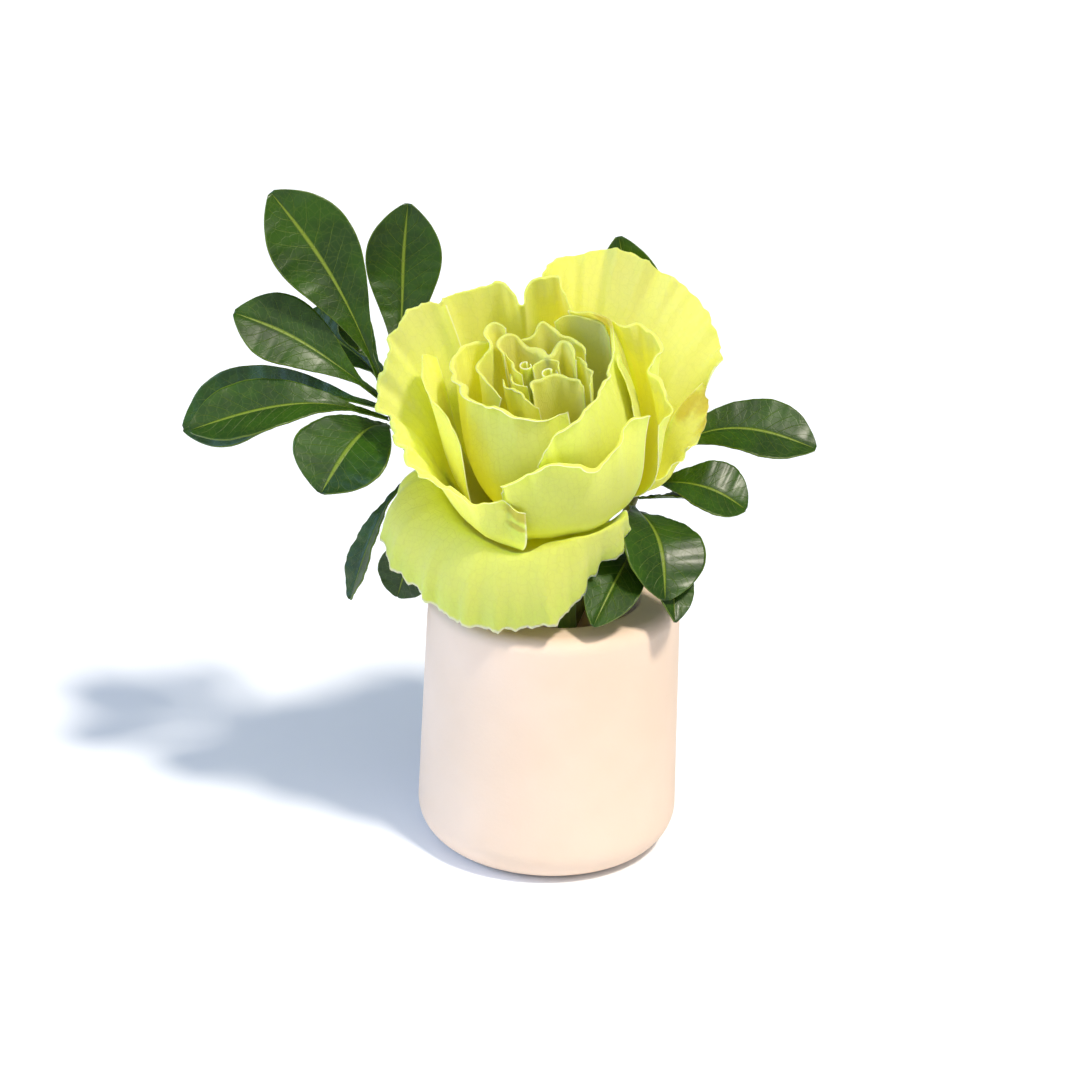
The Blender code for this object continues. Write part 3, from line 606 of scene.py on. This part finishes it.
class Crowd:
    """How far out the petals placed so far reach, in each direction from the middle of the ball."""

    MIDDLE = np.array([0.0, 0.0, 22.0])
    CELL = 3.0  # degrees

    def __init__(self):
        self.out = np.zeros((round(360 / self.CELL), round(180 / self.CELL)))

    def cells(self, points):
        across = points - self.MIDDLE
        azimuth = np.degrees(np.arctan2(across[..., 0], across[..., 1])) % 360
        fall = np.degrees(np.arctan2(np.hypot(across[..., 0], across[..., 1]), across[..., 2]))
        turn = (azimuth / self.CELL).astype(int) % self.out.shape[0]
        return turn, np.clip((fall / self.CELL).astype(int), 0, self.out.shape[1] - 1)

    def add(self, points):
        np.maximum.at(self.out, self.cells(points), np.linalg.norm(points - self.MIDDLE, axis=-1))

    def clear(self, grid, widenings=3, blurs=40):
        """The grid moved outwards, smoothly, until it is clear of the petals placed before it."""
        beside = np.maximum(np.roll(self.out, 1, axis=0), np.roll(self.out, -1, axis=0))
        wide = np.maximum(self.out, beside)
        away = grid - self.MIDDLE
        distance = np.linalg.norm(away, axis=-1)
        reach = wide[self.cells(grid)]
        push = np.maximum(reach + PETAL_CLEAR - distance, 0) * (reach > 0)
        for step in range(widenings + blurs):
            padded = np.pad(push, 1, mode="edge")
            around = (padded[:-2, 1:-1], padded[2:, 1:-1], padded[1:-1, :-2], padded[1:-1, 2:])
            if step < widenings:
                push = np.maximum.reduce((push, *around))
            else:
                push = (push + sum(around)) / (1 + len(around))
        push = push * np.clip(np.linspace(0, 1 / FOOT_HELD, len(grid)), 0, 1)[:, None]
        return grid + away * (push / np.maximum(distance, 0.1))[..., None]


def outward(grid):
    """The unit normals of a grid, turned away from the bloom's axis."""
    along, across = np.gradient(grid, axis=0), np.gradient(grid, axis=1)
    normal = np.cross(across, along)
    normal /= np.maximum(np.linalg.norm(normal, axis=-1), 1e-9)[..., None]
    away = (normal[..., :2] * grid[..., :2]).sum()
    return normal if away > 0 else -normal


# Waves and teeth along a rim, each by the millimetres of rim that one of them takes up.
BROAD_WAVE = 26.0
SMALL_WAVE = 9.0
TOOTH = 7.0
NICK = 5.0
LIP_WAVE = 22.0
NICK_SIZE = 0.25  # beside that of a tooth
TOOTH_DEPTH = 0.06  # the share of a petal's length that its teeth reach down
RUFFLE = 0.5  # the size of the small waves at the rim, beside that of the broad ones
LIP_STEPS = 7
LIP_TURN = 120.0


def scallops(seed, across, count):
    """A toothed line from 0 to 1: shallow bays between points, unevenly spaced."""
    turn = across * count + 0.35 * waves(seed, across, count / 4, 2)
    height = 0.6 + 0.4 * waves(seed + 1, across, count / 3, 2)
    return (1 - np.abs(np.sin(math.pi * turn)) ** 0.7) * height


def rim_directions(grid):
    """At each point of a rim, the way the petal grows and the way its outer face looks."""
    up = grid[-1] - grid[-3]
    return up / np.linalg.norm(up, axis=-1)[:, None], outward(grid)[-1]


def finish_rim(grid, seed, wave, tooth, lip):
    """Waves, small teeth and a lip that rolls outwards, added to a petal's free edge."""
    rows, columns = grid.shape[:2]
    across = np.linspace(0, 1, columns)
    along = np.linspace(0, 1, rows)[:, None]
    edge = np.linalg.norm(np.diff(grid[-1], axis=0), axis=1).sum()
    broad = waves(seed, across, edge / BROAD_WAVE, 3) * along**4
    small = RUFFLE * waves(seed + 7, across, edge / SMALL_WAVE, 2) * along**10
    grid = grid + outward(grid) * ((broad + small) * wave)[..., None]
    nicks = NICK_SIZE * waves(seed + 90, across, edge / NICK, 2)
    teeth = (scallops(seed + 50, across, edge / TOOTH) + nicks) * tooth
    up, _ = rim_directions(grid)
    reach = np.clip((along - 1 + TOOTH_DEPTH) / TOOTH_DEPTH, 0, 1) ** 2
    grid = grid + (up * teeth[:, None])[None] * reach[..., None]
    if not lip:
        return grid
    up, away = rim_directions(grid)
    ends = np.sin(math.pi * np.clip(across, 0.02, 0.98)) ** 0.6
    length = lip * (0.75 + 0.4 * waves(seed + 20, across, edge / LIP_WAVE, 3)) * ends
    rolled = [grid[-1]]
    for angle in np.radians(np.linspace(0, LIP_TURN, LIP_STEPS)):
        onward = up * math.cos(angle) + away * math.sin(angle)
        rolled.append(rolled[-1] + onward * length[:, None] / LIP_STEPS)
    return np.concatenate([grid, np.array(rolled[1:])])


def faces_in(grid):
    """True where the grid's own order of rows and columns makes its faces look at the bloom's axis."""
    normal = np.cross(np.gradient(grid, axis=1), np.gradient(grid, axis=0))
    return (normal[..., :2] * grid[..., :2]).sum() < 0


BLEMISHES = {  # petal: across, along and size of each browned spot, as shares of the petal
    14: ((0.16, 0.97, 0.05), (0.13, 0.9, 0.03)),
    19: ((0.985, 0.86, 0.05), (0.97, 0.74, 0.03)),
    21: ((0.12, 0.96, 0.13), (0.32, 0.97, 0.1), (0.05, 0.8, 0.08)),
}


def browned(shape, spots):
    """How brown each point of a petal's grid is, from 0 to 1."""
    along, across = np.meshgrid(np.linspace(0, 1, shape[0]), np.linspace(0, 1, shape[1]), indexing="ij")
    marks = np.zeros(shape)
    for right, up, size in spots:
        marks = np.maximum(marks, np.exp(-((across - right) ** 2 + (along - up) ** 2) / (2 * size**2)))
    return marks


crowd = Crowd()
nets = [(heart_net(scroll_rim(*scroll)), False, *SCROLL_EDGE, 0.0) for scroll in HEART_SCROLLS]
nets += [(heart_net(rim), False, *HEART_EDGE, lip) for rim, lip in zip(HEART_PETALS, HEART_LIPS)]
for slope, (layer, wave, tooth, lip, rim) in zip(np.linspace(*FOOT_SLOPES, len(PETALS)), PETALS):
    nets.append((petal_net(layer, rim, slope), True, wave, tooth, lip))
nets.append((front_petal_net(), True, *FRONT_EDGE, 0.0))
for number, (net, moves, wave, tooth, lip) in enumerate(nets, 1):
    smooth = fine(net)
    if moves:
        smooth = crowd.clear(smooth)
    crowd.add(smooth)
    finer = np.linspace(0, 1, OUTER_COLUMNS if moves else HEART_COLUMNS)
    smooth = spline_across(np.linspace(0, 1, FINE_COLUMNS), smooth, finer)
    surface = finish_rim(smooth, 100 + number, wave, tooth, lip)
    name = f"petal_{number:02d}"
    marks = browned(surface.shape[:2], BLEMISHES.get(number, ()))
    if faces_in(surface):
        surface, marks = surface[:, ::-1], marks[:, ::-1]
    paints = [outer_face, inner_face]
    sheet(f"{name}_sheet", from_bloom(surface), PETAL_THICK, paints, name, marks)

# ---- Sprigs ---------------------------------------------------------------------------------------
# Two cut ends of an evergreen shrub. Each has a thin green stem with thick, glossy, spoon-shaped leaves
# round its tip, dark above with a pale midrib, and dull and paler below.

LEAF_THICK = 0.45
LEAF_ROWS = 72
LEAF_COLUMNS = 33
PETIOLE_WIDTH = 1.7
PETIOLE_SHARE = 0.08  # the share of a leaf's length that is its stalk
PETIOLE_REACH = 0.3  # and how far along the blade is kept at least as wide as the stalk
TIP_HALF = 0.5
TIPWARD = 1.85  # above 1, this moves the widest place towards the tip
FULLNESS = 0.8  # below 1, this makes the outline fuller than half a sine wave
OUTLINE_END = 0.985  # the share of the half wave that is drawn, which leaves the tip a little blunt
TROUGH = 0.2
MIDRIB_GROOVE = 0.35
LEAF_WAVE = 0.35

# Each leaf by its width, the way its upper face looks, and its midrib from the stem to its tip.
LEFT_LEAVES = (
    (25, (0.3, -0.9, 0.3), ((-50, 10, 133), (-58, 13, 150), (-70, 18, 170), (-84, 20, 188))),
    (21, (0.2, -0.8, 0.6), ((-50, 10, 130.5), (-64, 9, 141), (-79, 12, 149), (-94, 14, 154))),
    (18, (0.4, -0.9, 0.1), ((-50, 11, 135), (-58, 21, 139), (-67, 28, 143), (-76, 35, 146))),
    (24, (0.2, -0.7, 0.7), ((-49, 11, 128), (-70, 20, 128), (-90, 26, 122), (-111, 30, 112))),
    (20, (0.2, -0.5, 0.9), ((-48, 10, 125.5), (-68, 2, 132), (-86, 0, 130), (-105, -2, 124))),
    (29, (-0.1, -0.5, 0.9), ((-47, 10, 123), (-54, -6, 128), (-60, -16, 124), (-66, -24, 115))),
    (22, (0.1, -1.0, 0.1), ((-49, 11, 133), (-47, 25, 149), (-47, 32, 166), (-46, 34, 182))),
    (9, (-0.3, -0.9, 0.3), ((-49, 11, 129), (-44, 13, 139), (-45, 15, 146), (-45, 16, 152))),
    (10, (0.4, -0.9, 0.2), ((-50, 11, 137.5), (-55, 17, 142), (-60, 21, 148), (-63, 23, 154))),
    (14, (-0.9, -0.4, 0.3), ((-41, 9, 110), (-48, 4, 103), (-54, -2, 91), (-59, -6, 75))),
    (16, (-0.2, -0.9, 0.5), ((-34, 9, 99), (-39, 6, 93), (-43, 6, 82), (-46, 8, 70))),
)
RIGHT_LEAVES = (
    (20, (0.1, -0.6, 0.8), ((24, 14, 111), (41, 18, 121), (57, 17, 123), (74, 14, 119))),
    (19, (0.2, -0.6, 0.9), ((23, 13, 107), (36, 4, 111), (45, 1, 110), (54, 0, 105))),
    (17, (0.1, 0.2, 1.0), ((22, 13, 103), (33, 8, 105), (41, 7, 105), (49, 8, 103))),
    (25, (0.4, -0.8, 0.5), ((21, 12, 100), (25, -6, 104), (29, -18, 101), (31, -28, 88))),
    (16, (0.0, -0.9, 0.5), ((18, 11, 91), (21, -9, 95), (17, -24, 92), (11, -36, 83))),
    (21, (0.1, -1.0, 0.2), ((24, 15, 113), (24, 30, 129), (20, 38, 150), (15, 42, 172))),
    (13, (0.5, -0.7, 0.5), ((20, 12, 96), (30, -9, 95), (33, -20, 90), (34, -29, 82))),
)

# Each stem from its cut end on the vase's floor to its tip, with its radius at each point.
LEFT_STEM = (
    (9, 2, 4.9), (2, 5, 35), (-9, 8, 62), (-18, 9, 78), (-30, 10, 95), (-41, 10, 112), (-48, 10, 126),
    (-50, 11, 138),
)
LEFT_RADII = (1.6, 1.6, 1.6, 1.6, 1.5, 1.5, 1.5, 0.9)
RIGHT_STEM = (
    (-8, 6, 4.8), (-3, 9, 35), (5, 11, 60), (12, 11, 78), (18, 11, 92), (23, 13, 106), (25, 15, 115),
)
RIGHT_RADII = (1.6, 1.6, 1.6, 1.6, 1.5, 1.5, 0.9)
STEM_SIDES = 24
STEM_STEPS = 24  # for each point of a stem's path


def leaf_paint(name, body, shade, rib, roughness, coat):
    """A mottled green, with a pale midrib, finer side veins with a net between them, and a pale edge."""
    paint = Paint(name, {"Specular IOR Level": 0.3, "Coat Roughness": 0.22})
    across, along = paint.across_and_along()
    place = paint.object_place()
    drift = paint.noise(place, 90.0)
    from_rib = abs(across - 0.5) * 2
    colour = paint.mix(drift.step(0.3, 0.7), body, shade)
    ripple = ((along - from_rib * 0.16) * 44.0 + drift * 1.5).sine()
    side_veins = abs(ripple).step(0.16, 0.0) * from_rib.step(0.95, 0.5)
    net = paint.cells(place, 420.0).step(0.07, 0.0)
    colour = paint.mix(side_veins * 0.3 + net * 0.1, colour, rib)
    midrib = (from_rib + along * 0.02).step(0.085, 0.035)
    colour = paint.mix(midrib, colour, rib)
    edge = from_rib.step(0.965, 0.99)
    colour = paint.mix(edge * 0.5, colour, rib)
    paint.set(paint.shader, {
        "Base Color": colour, "Roughness": roughness + 0.12 * drift, "Coat Weight": coat * (1 - midrib),
    })
    paint.bump(midrib - side_veins * 0.3 + drift * 0.8 - net * 0.08, 0.0003)
    return paint


leaf_top = leaf_paint("leaf_top", tone(46, 78, 4), tone(32, 58, 3), tone(112, 132, 44), 0.36, 0.12)
leaf_under = leaf_paint(
    "leaf_underside", tone(88, 118, 66), tone(76, 104, 58), tone(160, 176, 104), 0.55, 0.05
)


LEAF_GAP = 0.2  # from the stem's surface to the end of a leaf's midrib


def seated(midrib, stem, radii):
    """The midrib with its first point moved to the stem's surface, on the side that the leaf grows to."""
    midrib = np.array(midrib, float)
    along = travel(np.array(stem, float))
    places = np.linspace(0, 1, 400)
    path = spline(along, stem, places)
    nearest = np.linalg.norm(path - midrib[0], axis=1).argmin()
    axis = np.gradient(path, axis=0)[nearest]
    axis /= np.linalg.norm(axis)
    out = midrib[1] - path[nearest]
    out -= axis * out.dot(axis)
    clear = np.interp(places[nearest], along, radii) + LEAF_GAP
    midrib[0] = path[nearest] + out / np.linalg.norm(out) * clear
    return midrib


def leaf_grid(width, facing, midrib, seed):
    """A leaf's places: spoon-shaped, folded a little along its groove, and gently waved."""
    places = np.linspace(0, 1, LEAF_ROWS)
    line = spline(travel(midrib), midrib, places)
    along = np.gradient(line, axis=0)
    along /= np.linalg.norm(along, axis=1)[:, None]
    side = np.cross(along, np.array(facing, float))
    side /= np.linalg.norm(side, axis=1)[:, None]
    face = np.cross(side, along)
    grown = np.clip((places - PETIOLE_SHARE) / (1 - PETIOLE_SHARE), 0, 1)
    half = width / 2 * np.sin(math.pi * grown**TIPWARD * OUTLINE_END) ** FULLNESS
    half = np.maximum(half, np.where(places < PETIOLE_REACH, PETIOLE_WIDTH / 2, TIP_HALF))
    across = np.linspace(-1, 1, LEAF_COLUMNS)
    out = half[:, None] * across
    fold = TROUGH * half[:, None] * np.abs(across) ** 1.3 - MIDRIB_GROOVE * np.exp(-(out**2) / 0.5)
    fold = fold + LEAF_WAVE * across * waves(seed, places, 3.0)[:, None]
    return (line[:, None] + side[:, None] * out[..., None] + face[:, None] * fold[..., None]) * MM


def stem_tree():
    """A Geometry Nodes tree that runs a round stem along a path, as thick as the path's own radius."""
    tree = bpy.data.node_groups.new("stem_along_path", "GeometryNodeTree")
    face = tree.interface
    face.new_socket("Path", in_out="INPUT", socket_type="NodeSocketGeometry")
    face.new_socket("Sides", in_out="INPUT", socket_type="NodeSocketInt")
    face.new_socket("Bark", in_out="INPUT", socket_type="NodeSocketMaterial")
    face.new_socket("Stem", in_out="OUTPUT", socket_type="NodeSocketGeometry")
    nodes, links = tree.nodes, tree.links
    start, end = nodes.new("NodeGroupInput"), nodes.new("NodeGroupOutput")
    ring = nodes.new("GeometryNodeCurvePrimitiveCircle")
    ring.inputs["Radius"].default_value = 1.0
    radius = nodes.new("GeometryNodeInputRadius")
    sweep = nodes.new("GeometryNodeCurveToMesh")
    sweep.inputs["Fill Caps"].default_value = True
    real = nodes.new("GeometryNodeRealizeInstances")
    paint = nodes.new("GeometryNodeSetMaterial")
    smooth = nodes.new("GeometryNodeSetShadeSmooth")
    links.new(start.outputs["Path"], sweep.inputs["Curve"])
    links.new(start.outputs["Sides"], ring.inputs["Resolution"])
    links.new(ring.outputs["Curve"], sweep.inputs["Profile Curve"])
    links.new(radius.outputs[0], sweep.inputs["Scale"])
    links.new(sweep.outputs["Mesh"], real.inputs[0])
    links.new(real.outputs[0], smooth.inputs[0])
    links.new(smooth.outputs[0], paint.inputs["Geometry"])
    links.new(start.outputs["Bark"], paint.inputs["Material"])
    links.new(paint.outputs[0], end.inputs[0])
    return tree


STEM_TREE = stem_tree()


def stem(name, points, radii, paint, node, slot):
    """A stem through the points, with the radii at them, made a plain mesh."""
    along = travel(np.array(points, float))
    places = np.linspace(0, 1, STEM_STEPS * len(points))
    path = spline(along, points, places)
    thickness = np.interp(places, along, radii)
    curve = bpy.data.curves.new(name, "CURVE")
    curve.dimensions = "3D"
    line = curve.splines.new("POLY")
    line.points.add(len(path) - 1)
    for point, spot, radius in zip(line.points, path, thickness):
        point.co = (*(spot * MM), 1.0)
        point.radius = radius * MM
    guide = bpy.data.objects.new(name + "_path", curve)
    bpy.context.scene.collection.objects.link(guide)
    grow = guide.modifiers.new("stem", "NODES")
    grow.node_group = STEM_TREE
    sockets = {item.name: item.identifier for item in STEM_TREE.interface.items_tree}
    grow[sockets["Sides"]] = STEM_SIDES
    grow[sockets["Bark"]] = paint.material
    bpy.context.view_layer.update()
    grown = guide.evaluated_get(bpy.context.evaluated_depsgraph_get())
    mesh = bpy.data.meshes.new_from_object(grown)
    bpy.data.objects.remove(guide)
    piece = bpy.data.objects.new(name, mesh)
    bpy.context.scene.collection.objects.link(piece)
    finish_piece(piece, node, [])


bark = Paint("sprig_bark", {"Roughness": 0.55})
place = bark.object_place()
grain = bark.noise(bark.stretched(place, (1.0, 1.0, 0.12)), 900.0)
colour = bark.mix(grain.step(0.35, 0.7), tone(120, 124, 62), tone(92, 84, 44))
bark.set(bark.shader, {"Base Color": colour})
bark.bump(grain, 0.0003)

for side_name, points, radii, leaves in (
    ("left", LEFT_STEM, LEFT_RADII, LEFT_LEAVES),
    ("right", RIGHT_STEM, RIGHT_RADII, RIGHT_LEAVES),
):
    stem(f"{side_name}_stem", points, radii, bark, f"{side_name}_sprig_stem", "sprig_stem")
    for number, (width, facing, midrib) in enumerate(leaves, 1):
        midrib = seated(midrib, points, radii)
        node = f"{side_name}_leaf_{number:02d}"
        grid = leaf_grid(width, facing, midrib, 300 + number)
        sheet(f"{node}_blade", grid, LEAF_THICK, [leaf_top, leaf_under], node)

# ---- The rose's stem and sepals -------------------------------------------------------------------
# The stem swells into the hip and the receptacle inside the bloom. Five green sepals are turned back
# down round it, below the petals.

SEPAL_AZIMUTHS = (-58, 14, 86, 158, 230)
SEPAL_OUT = (10.6, 12.6, 13.2, 12.4, 11.4)  # from the bloom's axis, at each of five places from foot to tip
SEPAL_UP = (-1.5, -4.5, -11, -18, -25)
SEPAL_HALVES = (4.6, 4.9, 3.6, 2.0, 0.5)  # half its width at each
SEPAL_ARCH = 0.8
SEPAL_THICK = 0.4
SEPAL_ROWS = 40
SEPAL_COLUMNS = 17

rind = Paint("rose_rind", {"Roughness": 0.45})
place = rind.object_place()
blotch = rind.noise(place, 160.0)
colour = rind.mix(blotch.step(0.3, 0.7), tone(96, 128, 52), tone(120, 140, 66))
rind.set(rind.shader, {"Base Color": colour})
rind.bump(blotch, 0.0004)
rose_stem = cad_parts["rose_stem"]
rose_stem.data.materials.clear()
rose_stem.data.materials.append(rind.material)

for number, azimuth in enumerate(SEPAL_AZIMUTHS, 1):
    middle = squared(np.full(len(SEPAL_OUT), azimuth), np.array(SEPAL_OUT), np.array(SEPAL_UP))
    side = np.array([math.cos(math.radians(azimuth)), -math.sin(math.radians(azimuth)), 0])
    half = side * np.array(SEPAL_HALVES)[:, None]
    net = np.stack([middle - half, middle + squared(azimuth, SEPAL_ARCH, 0), middle + half], axis=1)
    net = spline_across((0, 0.5, 1), net, np.linspace(0, 1, SEPAL_COLUMNS))
    grid = spline(np.linspace(0, 1, len(net)), net, np.linspace(0, 1, SEPAL_ROWS))
    sheet(f"sepal_{number}_sheet", from_bloom(grid), SEPAL_THICK, [rind], f"sepal_{number}")

# ---- Light ----------------------------------------------------------------------------------------
# A bright room by day: a warm light from the upper right that throws the shadow, a broad cool one from
# the left, a faint one from the front that lifts the shade, and a pale sky all round.

SKY_COLOUR = (0.93, 0.95, 1.0)
SKY_STRENGTH = 0.26
SUNS = (  # the way to each light, its strength, its colour, and how many degrees it spreads over
    ("warm_key", (0.50, -0.50, 1.25), 3.0, (1.0, 0.91, 0.79), 8.0),
    ("cool_side", (-1.0, -0.15, 0.45), 1.7, (0.40, 0.62, 1.0), 40.0),
    ("soft_front", (-0.1, -0.8, 1.0), 0.9, (0.97, 0.98, 1.0), 80.0),
)
for name, towards, strength, colour, spread in SUNS:
    light = bpy.data.lights.new(name, "SUN")
    light.energy = strength
    light.color = colour
    light.angle = math.radians(spread)
    lamp = bpy.data.objects.new(name, light)
    lamp.rotation_mode = "QUATERNION"
    lamp.rotation_quaternion = Vector(towards).to_track_quat("Z", "Y")
    bpy.context.scene.collection.objects.link(lamp)
world = bpy.data.worlds.new("pale_sky")
world.use_nodes = True
world.node_tree.nodes["Background"].inputs["Color"].default_value = (*SKY_COLOUR, 1.0)
world.node_tree.nodes["Background"].inputs["Strength"].default_value = SKY_STRENGTH
bpy.context.scene.world = world
bpy.context.scene.view_settings.view_transform = "Standard"
